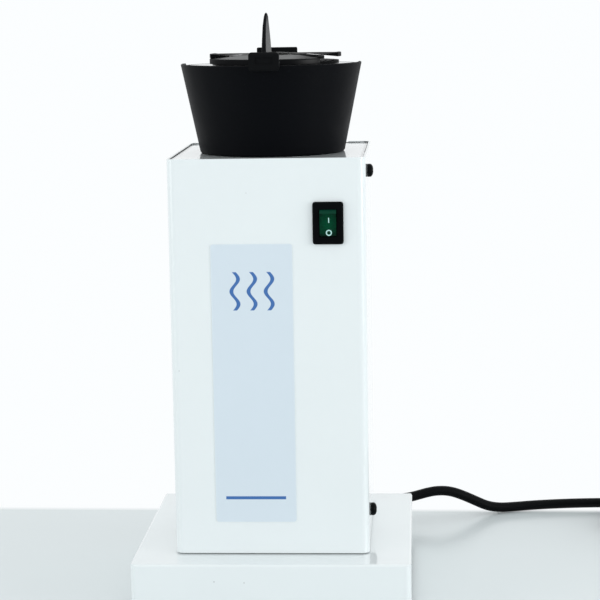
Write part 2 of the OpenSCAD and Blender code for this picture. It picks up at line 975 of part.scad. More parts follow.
// Two wings on one hub: thick at their tips, and like a low roof from there to the hub
module lid_wings() {
    hub_r = 7;
    thin = 24;
    roof_w = 14;
    roof_h = 2.6;
    under = cone(lid_hub, wing_foot, wing_r);
    color("#1d1f21")
        translate([lid_x, 0, 0])
            difference() {
                union() {
                    translate([0, 0, under])
                        cylinder(r = hub_r, h = hub_top - under);
                    intersection() {
                        union() {
                            rotate_extrude($fn = 128)
                                polygon([
                                    [thin, mouth_z], [wing_r, mouth_z], [wing_r, wing_top],
                                    [thin, cone(thin, wing_foot, wing_r) + 0.15]
                                ]);
                            along_x(-wing_r, wing_r)
                                polygon([
                                    [-roof_w, mouth_z], [roof_w, mouth_z], [roof_w, hub_top - roof_h],
                                    [0, hub_top], [-roof_w, hub_top - roof_h]
                                ]);
                        }
                        rotate_extrude($fn = 128)
                            polygon([
                                [0, under], [lid_hub, under], [wing_r, wing_foot],
                                [wing_r, wing_top - 0.2], [wing_r - 0.2, wing_top], [22, hub_top],
                                [0, hub_top]
                            ]);
                        translate([0, 0, mouth_z])
                            linear_extrude(20)
                                for (a = [0, 180])
                                    wedge(a - wing_half, a + wing_half, wing_r + 1);
                    }
                }
                translate([0, 0, wing_foot - 1])
                    cylinder(r = pivot_r - 0.45, h = 20);
            }
}

// Post that the shutter turns on, riveted into the lid's base, with the wings on its shoulder
module lid_pivot() {
    shoulder = cone(lid_hub, wing_foot, wing_r);
    color("#3a3d40")
        translate([lid_x, 0, 0])
            rotate_extrude()
                polygon([
                    [0, mouth_z - 1], [5, mouth_z - 1], [5, mouth_z], [pivot_r, mouth_z],
                    [pivot_r, shoulder], [pivot_r - 0.5, shoulder], [pivot_r - 0.5, hub_top],
                    [4.4, hub_top], [4.2, hub_top + 0.2], [0, hub_top + 0.3]
                ]);
}

// Mains lead ------------------------------------------------------------------------------------

// Moulded strain relief with rings, pushed through the base's back wall
module cord_relief() {
    grow = cord_d / 2;
    color("#131314")
        translate([relief_x, base_w / 2, relief_z])
            rotate([-90, 0, 0])
                rotate_extrude()
                    polygon(concat(
                        [[0, -8], [relief_hole_r - 0.1, -8], [relief_hole_r - 0.1, 0], [7.4, 0], [7.4, 1.6],
                         [grow + 2.6, 2.2]],
                        [for (i = [0:5]) each [
                            [grow + 2.5 - i * 0.3, 3.6 + i * 3], [grow + 1.7 - i * 0.3, 4.1 + i * 3],
                            [grow + 1.7 - i * 0.3, 5.3 + i * 3], [grow + 2.3 - i * 0.3, 5.8 + i * 3]
                        ]],
                        [[grow + 0.6, 22], [0, 22]]
                    ));
}

module relief_nut() {
    color("#131314")
        translate([relief_x, base_w / 2 - base_t - 4, relief_z])
            rotate([-90, 0, 0])
                difference() {
                    cylinder(r = 8.6, h = 4, $fn = 6);
                    translate([0, 0, -1])
                        cylinder(r = relief_hole_r - 0.1, h = 6);
                }
}

module cord_lead() {
    color("#161617")
        swept(lead_path, cord_d / 2, 10);
}

module cord_coil() {
    corner = 2;
    color("#161617")
        translate([coil_at[0], coil_at[1], 0])
            rotate_extrude()
                translate([coil_r, coil_h / 2])
                    rounded(coil_w, coil_h, corner);
}

module cord_tail() {
    color("#161617")
        swept(tail_path, cord_d / 2, 10);
}

// Round moulded mains plug lying on its side, its pins towards the front
module plug_body() {
    color("#161617")
        translate(plug_at)
            rotate([90, 0, 0])
                rotate_extrude()
                    polygon([
                        [0, 0], [4.2, 0], [5, 8], [9.5, 13], [12, 24], [17, 30], [18.3, 33],
                        [18.3, 46], [17.6, 47], [0, 47]
                    ]);
}

module plug_pins() {
    color("#c4c8cc")
        for (x = [-9.5, 9.5])
            translate(plug_at + [x, -47, 0])
                rotate([90, 0, 0])
                    rotate_extrude($fn = 32)
                        polygon([[0, 0], [2.4, 0], [2.4, 18], [1.6, 19], [0, 19]]);
}

base_shell();
base_plate();
rubber_feet();
base_screws();
terminal_block();
earth_screw();
tower_gasket();
chassis_frame();
tower_screws();
tower_cover();
cover_screws();
rear_panel();
rear_screws();
top_plate();
label_plate();
switch_housing();
switch_rocker();
switch_terminals();
fan_shroud();
fan_motor();
motor_shaft();
fan_impeller();
air_funnel();
heater_tube();
heater_bands();
mica_cross();
heating_wire();
thermal_cutout();
outlet_collar();
nozzle_cup();
lid_base();
lid_wings();
lid_shutter();
lid_pivot();
cord_relief();
relief_nut();
cord_lead();
cord_coil();
cord_tail();
plug_body();
plug_pins();
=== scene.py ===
import math

import bmesh
import bpy
from mathutils import Matrix, Vector


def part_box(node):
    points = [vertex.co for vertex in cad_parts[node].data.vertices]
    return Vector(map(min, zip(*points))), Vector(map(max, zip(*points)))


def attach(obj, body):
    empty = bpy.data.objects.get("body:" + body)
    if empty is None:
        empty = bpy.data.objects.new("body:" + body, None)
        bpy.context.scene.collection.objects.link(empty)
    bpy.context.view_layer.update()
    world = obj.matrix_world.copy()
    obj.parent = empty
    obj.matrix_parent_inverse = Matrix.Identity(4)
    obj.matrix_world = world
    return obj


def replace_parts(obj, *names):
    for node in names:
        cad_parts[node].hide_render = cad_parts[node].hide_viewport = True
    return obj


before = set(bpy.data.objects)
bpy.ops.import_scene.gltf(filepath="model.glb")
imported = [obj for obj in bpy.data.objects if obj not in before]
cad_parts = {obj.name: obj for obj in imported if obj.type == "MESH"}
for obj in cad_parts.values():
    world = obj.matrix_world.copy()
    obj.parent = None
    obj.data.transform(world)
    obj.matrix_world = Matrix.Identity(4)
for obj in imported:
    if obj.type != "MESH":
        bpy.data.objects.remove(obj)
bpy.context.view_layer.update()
MM = 0.001


def mm(x, y, z):
    """A place or a size, given in millimetres."""
    return Vector((x, y, z)) * MM


def place(name, data, at=Matrix()):
    """A new object of the scene."""
    made = bpy.data.objects.new(name, data)
    made.matrix_world = at
    bpy.context.collection.objects.link(made)
    return made


# Camera ----------------------------------------------------------------------------------------

def make_camera():
    """Looks at the warmer from the front, a little from the right and from above."""
    lens = bpy.data.cameras.new("camera")
    lens.sensor_width = 36
    lens.lens = 115.853
    lens.clip_start, lens.clip_end = 0.05, 20
    right = Vector((0.99806198, 0.06005058, -0.01631588))
    up = Vector((0.00676374, 0.15595573, 0.98774089))
    ahead = Vector((-0.06185897, 0.98593699, -0.15524732))
    turn = Matrix((right, up, -ahead)).transposed().to_4x4()
    stand = Matrix.Translation(mm(74.994, -991.791, 307.887))
    bpy.context.scene.camera = place("camera", lens, stand @ turn)


# Shader expressions ----------------------------------------------------------------------------

class Signal:
    """A shader socket that takes part in sums, one Math node for each operator."""

    def __init__(self, finish, socket):
        self.finish, self.socket = finish, socket

    def math(self, operation, *values, clamp=False):
        settings = {"operation": operation, "use_clamp": clamp}
        return self.finish.node("ShaderNodeMath", settings, dict(enumerate(values)))

    def __add__(self, other):
        return self.math("ADD", self, other)

    __radd__ = __add__

    def __sub__(self, other):
        return self.math("SUBTRACT", self, other)

    def __rsub__(self, other):
        return self.math("SUBTRACT", other, self)

    def __mul__(self, other):
        return self.math("MULTIPLY", self, other)

    __rmul__ = __mul__

    def __abs__(self):
        return self.math("ABSOLUTE", self)

    def sin(self):
        return self.math("SINE", self)

    def root(self):
        return self.math("SQRT", self)

    def lesser(self, other):
        return self.math("MINIMUM", self, other)

    def greater(self, other):
        return self.math("MAXIMUM", self, other)

    def rise(self, start, end):
        """0 before start and 1 past end; start may be the larger of the two."""
        return self.math("MULTIPLY", self - start, 1 / (end - start), clamp=True)


class Finish:
    """A material: constants on its shader's own sockets, and what varies fed by expressions."""

    def __init__(self, name, color, **constants):
        self.name = name
        self.material = bpy.data.materials.new(name + "_finish")
        self.material.use_nodes = True
        self.tree = self.material.node_tree
        self.shader = self.tree.nodes["Principled BSDF"]
        self.color = color
        self.shader.inputs["Base Color"].default_value = (*color, 1)
        for word, value in constants.items():
            self.shader.inputs[word.replace("_", " ")].default_value = value

    def node(self, kind, settings, values, out=0):
        """Any node: its settings come first, then the values or links of its sockets."""
        made = self.tree.nodes.new(kind)
        for word, setting in settings.items():
            setattr(made, word, setting)
        for key, value in values.items():
            if isinstance(value, Signal):
                self.tree.links.new(value.socket, made.inputs[key])
            else:
                made.inputs[key].default_value = value
        return Signal(self, made.outputs[out])

    def where(self):
        return self.node("ShaderNodeTexCoord", {}, {}, out="Object")

    def axes(self):
        """The three coordinates, in metres."""
        split = self.node("ShaderNodeSeparateXYZ", {}, {0: self.where()}).socket.node
        return [Signal(self, split.outputs[k]) for k in range(3)]

    def stretched(self, x, y, z):
        """Coordinates for a pattern that is drawn out where its scale is below 1."""
        return self.node("ShaderNodeMapping", {}, {"Vector": self.where(), "Scale": (x, y, z)})

    def noise(self, size, detail=2.0, rough=0.5, where=None):
        """Cloudy noise from 0 to 1 whose lumps have that size in millimetres."""
        return self.node("ShaderNodeTexNoise", {}, {
            "Vector": where or self.where(), "Scale": 1 / (size * MM), "Detail": detail,
            "Roughness": rough})

    def grains(self, size):
        """Cells of that size in millimetres, each with one value from 0 to 1."""
        colors = self.node("ShaderNodeTexVoronoi", {}, {
            "Vector": self.where(), "Scale": 1 / (size * MM)}, out="Color")
        return self.node("ShaderNodeSeparateColor", {}, {0: colors})

    def blend(self, share, low, high):
        """A colour between two colours."""
        low, high = [c if isinstance(c, Signal) else (*c, 1) for c in (low, high)]
        return self.node("ShaderNodeMix", {"data_type": "RGBA"}, {0: share, 6: low, 7: high},
                         out=2)

    def shades(self, share, spread):
        """The finish's own colour, darker and lighter by that share of itself."""
        low, high = [tuple(min(1, c * k) for c in self.color) for k in (1 - spread, 1 + spread)]
        return self.blend(share, low, high)

    def feed(self, socket, signal):
        self.tree.links.new(signal.socket, self.shader.inputs[socket])
        return self

    def bump(self, height, depth):
        """Relief of that depth in millimetres."""
        return self.feed("Normal", self.node("ShaderNodeBump", {}, {
            "Height": height, "Distance": depth * MM, "Strength": 1.0}))


# Finishes --------------------------------------------------------------------------------------

# Specks on the front: where they are, across and up, and how wide they are, in millimetres
SPECKS = [(-45, 124.4, 0.35), (-9.7, 213.1, 0.3), (-28, 21.2, 0.5), (-13, 20.7, 0.45)]
# The tower's middle, the middles of its round corners seen from there, and its sunk plate
TOWER_Y = 2.5 * MM
CORNER_X, CORNER_Y = 45 * MM, 50 * MM
PLATE_TOP = 229.3 * MM
# The shutter's axis, the foot of its cone and the foot of its fin
PIVOT_X = 2.3 * MM
CONE_FOOT = 277 * MM
FIN_FOOT = 279.3 * MM


def white_enamel():
    """Baked glossy enamel with a few tiny specks.

    It has painted shade along the plate's edge, and painted shade on the inner faces that are
    seen through the gap there.
    """
    paint = Finish("white_paint", (0.84, 0.892, 0.902), Coat_Weight=1.0, Coat_Roughness=0.03,
                   Specular_IOR_Level=0.2)
    x, y, z = paint.axes()
    tone = paint.shades(paint.noise(45, 3), 0.012)
    front = y.rise(0, -0.04)
    for mark_x, mark_z, size in SPECKS:
        across, along = x - mark_x * MM, z - mark_z * MM
        speck = (across * across + along * along).root().rise(size * MM, size * 0.4 * MM)
        tone = paint.blend(speck * front * 0.5, tone, (0.25, 0.26, 0.26))
    past_x = (abs(x) - CORNER_X).greater(0)
    past_y = (abs(y - TOWER_Y) - CORNER_Y).greater(0)
    past = (past_x * past_x + past_y * past_y).root()
    up = z - PLATE_TOP
    # Painted shade: a dark line on the plate's top along its edge, next to the gap
    painted_edge_shade = past.rise(0.001, 0.0016) * past.rise(0.0028, 0.0026) * up.rise(-0.0005, -0.0003)
    tone = paint.blend(painted_edge_shade * 0.85, tone, (0.09, 0.095, 0.095))
    # Painted shade: the inner faces below the plate's top, seen through the gap, made nearly
    # black
    painted_gap_shade = past.rise(0.0035, 0.0033) * up.rise(-0.0002, -0.0004) * up.rise(-0.0293, -0.0273)
    paint.feed("Base Color", paint.blend(painted_gap_shade, tone, (0.05, 0.052, 0.052)))
    paint.feed("Roughness", paint.noise(12) * 0.08 + 0.3)
    return paint.bump(paint.noise(1.7, 1), 0.002)


def film():
    """Pale printed film: a border, heat waves above and a rule below."""
    label = Finish("label_film", (0.695, 0.785, 0.855), Coat_Weight=0.25, Coat_Roughness=0.12)
    x, _, z = label.axes()
    low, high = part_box("label_plate")
    half_x, half_z = (high.x - low.x) / 2, (high.z - low.z) / 2
    across, along = x - (low.x + high.x) / 2, z - (low.z + high.z) / 2
    wave_length, wave_swing, wave_gap = 12.5 * MM, 1.7 * MM, 8.5 * MM
    waves_up, rule_down = 47 * MM, 58 * MM
    sway = (along * (2 * math.pi / wave_length)).sin() * wave_swing
    left, middle, right = [
        abs(across - offset - sway).rise(0.0011, 0.00085) for offset in (-wave_gap, 0, wave_gap)]
    waves = left.greater(middle).greater(right) * abs(along - waves_up).rise(0.0098, 0.0094)
    rule = abs(along + rule_down).rise(0.0009, 0.0007) * abs(across).rise(0.0152, 0.015)
    edge = (half_x - abs(across)).lesser(half_z - abs(along)).rise(0.0007, 0.0002)
    tone = label.shades(label.noise(60, 2), 0.015)
    tone = label.blend(edge * 0.35, tone, (0.8, 0.86, 0.9))
    label.feed("Base Color", label.blend(waves.greater(rule), tone, (0.035, 0.145, 0.42)))
    label.feed("Roughness", label.noise(3, 2) * 0.06 + 0.3)
    return label.bump(label.noise(0.5, 1), 0.002)


def galvanised():
    """Zinc sheet with its spangle."""
    zinc = Finish("zinc_sheet", (0.62, 0.64, 0.66), Metallic=1.0)
    spangle = zinc.grains(9)
    zinc.feed("Base Color", zinc.shades(spangle * 0.7 + zinc.noise(4, 3) * 0.3, 0.12))
    zinc.feed("Roughness", spangle * 0.16 + 0.3)
    return zinc.bump(zinc.noise(0.9, 2), 0.004)


def moulded(name, color, grain, depth, low=0.38, high=0.52, **constants):
    """Moulded plastic or rubber with a fine spark-eroded grain, in millimetres.

    Its roughness wanders from low to high.
    """
    plastic = Finish(name, color, **constants)
    plastic.feed("Base Color", plastic.shades(plastic.noise(25, 3), 0.12))
    plastic.feed("Roughness", plastic.noise(7, 3) * (high - low) + low)
    return plastic.bump(plastic.noise(grain, 3, 0.6), depth)


def lid_part(name, glossy, coat, color=(0.004, 0.0044, 0.005)):
    """Matt black plastic, shiny where glossy(x, y, z) is above 0; coat is how rough that is."""
    part = Finish(name, color, Specular_IOR_Level=0.05, Coat_Roughness=coat)
    part.feed("Base Color", part.shades(part.noise(25, 3), 0.12))
    part.feed("Roughness", part.noise(7, 3) * 0.12 + 0.5)
    part.feed("Coat Weight", glossy(*part.axes()))
    return part.bump(part.noise(0.5, 3), 0.003)


def from_pivot(x, y):
    """Distance from the shutter's axis."""
    x = x - PIVOT_X
    return (x * x + y * y).root()


def polished_plate(x, y, z):
    """The lid's flat plate inside the cup's rim."""
    return z.rise(0.2745, 0.2741) * (x * x + y * y).root().rise(0.0448, 0.0446)


def worn_hub(x, y, z):
    """The wings near their hub, more on the left."""
    return from_pivot(x, y).rise(0.026, 0.02) * x.rise(0.021, 0.011) * 0.25


def cone_and_fin(x, y, z):
    """The shutter's cone, both faces of its fin and the right of its skirt, but no edges."""
    # The fin is turned a little at rest and thins towards its tip
    fin_turn = math.radians(6.1)
    aside = abs((x - PIVOT_X) * math.cos(fin_turn) - y * math.sin(fin_turn))
    thick_foot, thick_tip = 0.00216, 0.00106
    half = z.rise(0.279, 0.3) * ((thick_tip - thick_foot) / 2) + thick_foot / 2
    fin_start, fin_end = FIN_FOOT, FIN_FOOT + 0.5 * MM
    face = (aside - half).rise(-0.00012, 0) * z.rise(fin_start, fin_end) * z.rise(0.299, 0.2955)
    cone = (z.rise(fin_end, fin_start) * z.rise(CONE_FOOT, CONE_FOOT + 0.3 * MM)
            * from_pivot(x, y).rise(0.0335, 0.0331))
    skirt = z.rise(CONE_FOOT, CONE_FOOT - 0.3 * MM) * x.rise(0.012, 0.022)
    return (face * (z.rise(0.297, 0.28) * 0.25 + 0.35) + cone * x.rise(0.0195, 0.012) * 0.38
            + skirt * 0.3)


def plated(name, color, rough=0.25):
    """Drawn or plated metal with fine scratches along Z."""
    metal = Finish(name, color, Metallic=1.0)
    lines = metal.noise(0.25, 2, where=metal.stretched(1, 1, 0.08))
    metal.feed("Base Color", metal.shades(metal.noise(2, 3), 0.1))
    metal.feed("Roughness", lines * 0.15 + rough)
    return metal.bump(lines, 0.003)


def mica():
    """Pressed mica board with its flakes."""
    board = Finish("mica_board", (0.56, 0.47, 0.3))
    flakes = board.grains(2.2)
    board.feed("Base Color", board.shades(flakes * 0.5 + board.noise(6, 4) * 0.5, 0.3))
    board.feed("Roughness", flakes * 0.3 + 0.3)
    return board.bump(flakes, 0.01)


def glowing_green():
    """Clear dark green plastic: a light strip on top, a glow in the middle, darker below."""
    green = Finish("rocker_green", (0.001, 0.024, 0.013), Specular_IOR_Level=0.05)
    x, _, z = green.axes()
    low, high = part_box("switch_rocker")
    across, along = x - (low.x + high.x) / 2, z - (low.z + high.z) / 2
    wide, tall = across * 1.1, along + 0.2 * MM
    glow = (wide * wide + tall * tall).root().rise(0.0072, 0.0008)
    strip = along.rise(0.0047, 0.0052)
    foot = along.rise(-0.0052, -0.0066)
    mottle = green.noise(0.7, 2).rise(0.35, 0.65)
    tone = green.blend(glow * 0.75 + mottle * 0.25, (0.0003, 0.007, 0.0045),
                       (0.0006, 0.062, 0.026))
    tone = green.blend(strip * 0.7, tone, (0.004, 0.06, 0.034))
    green.feed("Base Color", green.blend(foot * 0.85, tone, (0.002, 0.0035, 0.0035)))
    green.feed("Roughness", green.noise(1.5) * 0.1 + 0.2)
    return green.bump(green.noise(0.35, 1), 0.003)


def screw_black():
    """Blackened steel screw."""
    black = Finish("black_screw", (0.002, 0.0025, 0.003), Specular_IOR_Level=0.06)
    black.feed("Roughness", black.noise(1.2, 3) * 0.15 + 0.28)
    return black.bump(black.noise(0.3, 2), 0.003)


def mark_ink():
    """Pale print on the rocker."""
    ink = Finish("mark_ink", (0.48, 0.78, 0.74))
    ink.feed("Base Color", ink.shades(ink.noise(0.6, 2), 0.08))
    return ink.feed("Roughness", ink.noise(1) * 0.1 + 0.4)


def tie_weave():
    """Woven black band."""
    tie = Finish("tie_weave", (0.012, 0.012, 0.013), Sheen_Weight=0.4)
    weave = tie.noise(0.35, 1, where=tie.stretched(1, 1, 0.5))
    tie.feed("Base Color", tie.shades(weave, 0.3))
    tie.feed("Roughness", weave * 0.2 + 0.7)
    return tie.bump(weave, 0.06)


def make_finishes():
    """Every finish by its name."""
    made = [
        white_enamel(), film(), galvanised(), mica(), glowing_green(),
        moulded("black_rubber", (0.014, 0.014, 0.015), 0.6, 0.01, 0.6, 0.8,
                Specular_IOR_Level=0.3),
        moulded("grey_seal", (0.15, 0.155, 0.155), 0.6, 0.006, 0.6, 0.75),
        moulded("cream_plastic", (0.76, 0.72, 0.6), 0.8, 0.004),
        moulded("switch_black", (0.002, 0.0025, 0.003), 0.4, 0.004, 0.4, 0.5,
                Specular_IOR_Level=0.03),
        moulded("dark_plastic", (0.025, 0.027, 0.03), 0.7, 0.008),
        moulded("cutout_brown", (0.14, 0.1, 0.07), 0.6, 0.006, 0.3, 0.45),
        moulded("cup_black", (0.0015, 0.0019, 0.003), 0.55, 0.014, 0.46, 0.58,
                Specular_IOR_Level=0.055),
        lid_part("disc_black", polished_plate, 0.1),
        lid_part("wing_black", worn_hub, 0.35),
        lid_part("shutter_black", cone_and_fin, 0.3, (0.006, 0.0065, 0.0075)),
        moulded("cord_black", (0.0022, 0.0028, 0.0032), 0.8, 0.01, 0.4, 0.55,
                Specular_IOR_Level=0.07),
        plated("steel_screw", (0.6, 0.61, 0.62)),
        plated("brass_part", (0.72, 0.55, 0.25)),
        plated("collar_steel", (0.64, 0.65, 0.66), 0.28),
        plated("heater_wire", (0.3, 0.27, 0.25), 0.45),
        plated("pin_nickel", (0.72, 0.71, 0.68), 0.16),
        screw_black(), mark_ink(), tie_weave(),
    ]
    return {finish.name: finish.material for finish in made}


# Bench work ------------------------------------------------------------------------------------

def to_mesh(name, bm):
    """Ends a bmesh."""
    mesh = bpy.data.meshes.new(name)
    bm.to_mesh(mesh)
    bm.free()
    return mesh


def piece(name, bm, finish, body):
    """Ends a bmesh: its faces turned outwards, its finish on, and set on its body."""
    bmesh.ops.recalc_face_normals(bm, faces=bm.faces)
    mesh = to_mesh(name, bm)
    mesh.materials.append(FINISHES[finish])
    mesh.shade_smooth()
    mesh.set_sharp_from_angle(angle=math.radians(35))
    made = place(name, mesh)
    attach(made, body)
    return made


def turned(bm, profile, steps):
    """Turns a profile of (radius, height) in millimetres about Z."""
    rim = [bm.verts.new(mm(r, 0, z)) for r, z in profile]
    edges = [bm.edges.new(pair) for pair in zip(rim, rim[1:])]
    bmesh.ops.spin(bm, geom=rim + edges, cent=(0, 0, 0), axis=(0, 0, 1), angle=2 * math.pi,
                   steps=steps, use_merge=True)
    bmesh.ops.remove_doubles(bm, verts=bm.verts, dist=1e-7)
    bmesh.ops.holes_fill(bm, edges=bm.edges)


def soften(bm, edges, radius, segments):
    """Rounds edges to a radius in millimetres."""
    bmesh.ops.bevel(bm, geom=edges, offset=radius * MM, offset_type="OFFSET", affect="EDGES",
                    segments=segments, profile=0.5, material=-1)


# Mains lead ------------------------------------------------------------------------------------

# All in millimetres
CORD = 5.8
RELIEF_END = (50, 92, 17)
LEAD = [
    (50, 80, 17), (50, 86, 17), RELIEF_END, (50, 98, 16.9), (51, 105, 16.2), (53.7, 111.4, 15),
    (58, 117, 13.9), (63.3, 121, 13.3), (68.8, 123.7, 13.5), (73.8, 125.3, 14.4),
    (78.8, 126.4, 15.5), (85, 127.7, 16.2), (92.2, 129.4, 15.4), (99.4, 131.2, 12.7),
    (107.2, 133.2, 8.8), (114.4, 135.5, 5.2), (121.5, 138, 3.4), (130, 141, 2.9),
    (141, 144.2, 2.9), (154, 147, 2.9), (168, 149, 2.9), (182, 150, 2.9), (195, 150.3, 2.9),
    (208, 150.3, 2.9)]
TAIL = [(254, 106, 19.3), (254, 98, 18.9), (254, 90, 18.6), (254, 84, 18.5), (254, 78, 18.5),
        (254, 70, 18.5)]
COIL_AT = (221, 114)
COIL_R = 33
# Radius and height of each turn's place in the coil
COIL = [(35.9, 2.9), (30.1, 2.9), (30.1, 8.7), (35.9, 8.7), (35.9, 14.5), (30.1, 14.5),
        (COIL_R, 19.5)]
COIL_TURNS = 6.25
COIL_POINTS = 150
# Share of a turn in which the lead moves to its next place, and how much earlier each time
CLIMB = 0.22
EARLIER = 0.1


def at_coil(radius, degrees, z):
    """A place round the coil's middle."""
    angle = math.radians(degrees)
    return COIL_AT[0] + radius * math.cos(angle), COIL_AT[1] + radius * math.sin(angle), z


def coil_point(turn):
    """The lead's middle after that many turns, clockwise from behind the coil's middle."""
    rank = 0
    for step in range(1, len(COIL)):
        start = step - CLIMB - EARLIER * (step - 1)
        t = min(1, max(0, (turn - start) / CLIMB))
        rank += t * t * (3 - 2 * t)
    low = min(int(rank), len(COIL) - 2)
    (r0, z0), (r1, z1) = COIL[low:low + 2]
    r, z = r0 + (r1 - r0) * (rank - low), z0 + (z1 - z0) * (rank - low)
    return at_coil(r, 90 - 360 * turn, z)


def make_cord():
    """One smooth line from the strain relief through the coil to the plug."""
    turns = [coil_point(COIL_TURNS * i / COIL_POINTS) for i in range(COIL_POINTS + 1)]
    line = LEAD + turns + TAIL
    curve = bpy.data.curves.new("mains_lead", "CURVE")
    curve.dimensions = "3D"
    curve.bevel_depth = CORD / 2 * MM
    curve.bevel_resolution = 4
    curve.use_fill_caps = True
    curve.resolution_u = 3
    spline = curve.splines.new("BEZIER")
    spline.bezier_points.add(len(line) - 1)
    for point, at in zip(spline.bezier_points, line):
        point.co = mm(*at)
        point.handle_left_type = point.handle_right_type = "AUTO"
    curve.materials.append(FINISHES["cord_black"])
    lead = place("mains_lead", curve)
    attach(lead, "housing")
    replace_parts(lead, "cord_lead", "cord_coil", "cord_tail")
    make_tie()


def make_tie():
    """Woven band round the coil's six strands."""
    wide, long, high = 12.4, 7, 17.3
    corner, wall, middle_z = 2.6, 0.7, 9.4
    degrees = -100
    bm = bmesh.new()
    bmesh.ops.create_cube(bm, size=1)
    bmesh.ops.scale(bm, verts=bm.verts, vec=mm(wide, long, high))
    ends = [f for f in bm.faces if abs(f.normal.y) > 0.9]
    bmesh.ops.delete(bm, geom=ends, context="FACES_ONLY")
    soften(bm, [e for e in bm.edges if not e.is_boundary], corner, 5)
    bmesh.ops.recalc_face_normals(bm, faces=bm.faces)
    bmesh.ops.solidify(bm, geom=bm.faces, thickness=-wall * MM)
    bmesh.ops.transform(bm, verts=bm.verts, matrix=Matrix.Translation(
        mm(*at_coil(COIL_R, degrees, middle_z))) @ Matrix.Rotation(math.radians(degrees), 4, "Z"))
    return piece("coil_tie", bm, "tie_weave", "housing")


# Screws ----------------------------------------------------------------------------------------

# The head's crown: share of its radius, and share of its height below its top
CROWN = [(1, 1), (0.97, 0.75), (0.88, 0.5), (0.72, 0.27), (0.5, 0.1), (0.25, 0.02), (0, 0)]


def blank_screw(head_r, head_h, shank_r, shank_l):
    """Pan head screw on z = 0, without its recess."""
    tip, edge = 0.3, 0.2
    crown_h = head_h * 0.56
    bm = bmesh.new()
    turned(bm, [
        (0, -shank_l), (shank_r - tip, -shank_l), (shank_r, -shank_l + tip), (shank_r, 0),
        (head_r - edge, 0), (head_r, edge),
        *[(head_r * r, head_h - crown_h * drop) for r, drop in CROWN]], 40)
    return to_mesh("screw", bm)


def cross_tool(head_r, head_h):
    """Two crossed wedges that cut the recess."""
    bm = bmesh.new()
    for turn in (0, math.pi / 2):
        wedge = bmesh.ops.create_cube(bm, size=1)["verts"]
        bmesh.ops.scale(bm, verts=wedge, vec=mm(head_r * 1.1, head_r * 0.26, head_h * 1.2))
        for v in wedge:
            if v.co.z < 0:
                v.co.x *= 0.35
        bmesh.ops.rotate(bm, verts=wedge, cent=(0, 0, 0), matrix=Matrix.Rotation(turn, 3, "Z"))
        bmesh.ops.translate(bm, verts=wedge, vec=mm(0, 0, head_h * 1.02))
    return to_mesh("recess", bm)


def cross_screw(head_r, head_h, shank_r, shank_l):
    """Pan head screw on z = 0 with a cross recess; its sizes are in millimetres."""
    screw = place("screw", blank_screw(head_r, head_h, shank_r, shank_l))
    tool = place("recess", cross_tool(head_r, head_h))
    cut = screw.modifiers.new("recess", "BOOLEAN")
    cut.object, cut.operation, cut.solver, cut.use_self = tool, "DIFFERENCE", "EXACT", True
    bm = bmesh.new()
    bm.from_object(screw, bpy.context.evaluated_depsgraph_get())
    for made in (screw, tool):
        bpy.data.objects.remove(made)
    bmesh.ops.triangulate(bm, faces=bm.faces)
    bmesh.ops.dissolve_degenerate(bm, dist=0.002 * MM, edges=bm.edges)
    return to_mesh("screw", bm)


def set_screws(name, node, finish, screw, places):
    """Copies of one screw in place of a node; each place is a point and the way its head faces.

    No two recesses are turned alike.
    """
    bm = bmesh.new()
    for k, (at, facing) in enumerate(places):
        before = set(bm.verts)
        bm.from_mesh(screw)
        spin = Matrix.Rotation(0.5 + 1.9 * k, 4, "Z")
        turn = Vector(facing).to_track_quat("Z", "Y").to_matrix().to_4x4()
        bmesh.ops.transform(bm, verts=[v for v in bm.verts if v not in before],
                            matrix=Matrix.Translation(mm(*at)) @ turn @ spin)
    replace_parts(piece(name, bm, finish, "housing"), node)


def make_screws():
    """The screws of the tower's sides, of its back and of the floor."""
    side = cross_screw(head_r=3.35, head_h=3, shank_r=1.9, shank_l=6)
    set_screws("side_screws", "cover_screws", "black_screw", side, [
        ((x * 49, -14, z), (x, 0, 0)) for x in (-1, 1) for z in (43.5, 220.3)])
    back = cross_screw(head_r=2.8, head_h=2, shank_r=1.5, shank_l=4)
    set_screws("back_screws", "rear_screws", "black_screw", back, [
        ((x * 41, 56.5, z), (0, 1, 0)) for x in (-1, 1) for z in (46, 214)])
    under = cross_screw(head_r=2.8, head_h=1.8, shank_r=1.5, shank_l=5)
    set_screws("floor_screws", "base_screws", "steel_screw", under, [
        ((x * 61, y * 61, 3.2), (0, 0, -1)) for x in (-1, 1) for y in (-1, 1)])


# Switch marks ----------------------------------------------------------------------------------

# The line on the rocker's front where its two flats meet, then the marks' middles and how far
# they stand out, in millimetres
RIDGE_Y, RIDGE_Z = -53.54, 197.28
MARK_X = 30.85
MARK_H = 0.07
OFF_Z, ON_Z = 193.35, 199.6
# How far the upper flat leans, in degrees
LEAN = 18


def print_mark(name, bm, z, lean):
    """Lays a mark that was drawn in XY onto the rocker's front at a height."""
    y = RIDGE_Y - (z - RIDGE_Z) * math.tan(math.radians(lean))
    bmesh.ops.transform(bm, verts=bm.verts, matrix=Matrix.Translation(mm(MARK_X, y, z))
                        @ Matrix.Rotation(math.radians(90 + lean), 4, "X"))
    piece(name, bm, "mark_ink", "rocker")


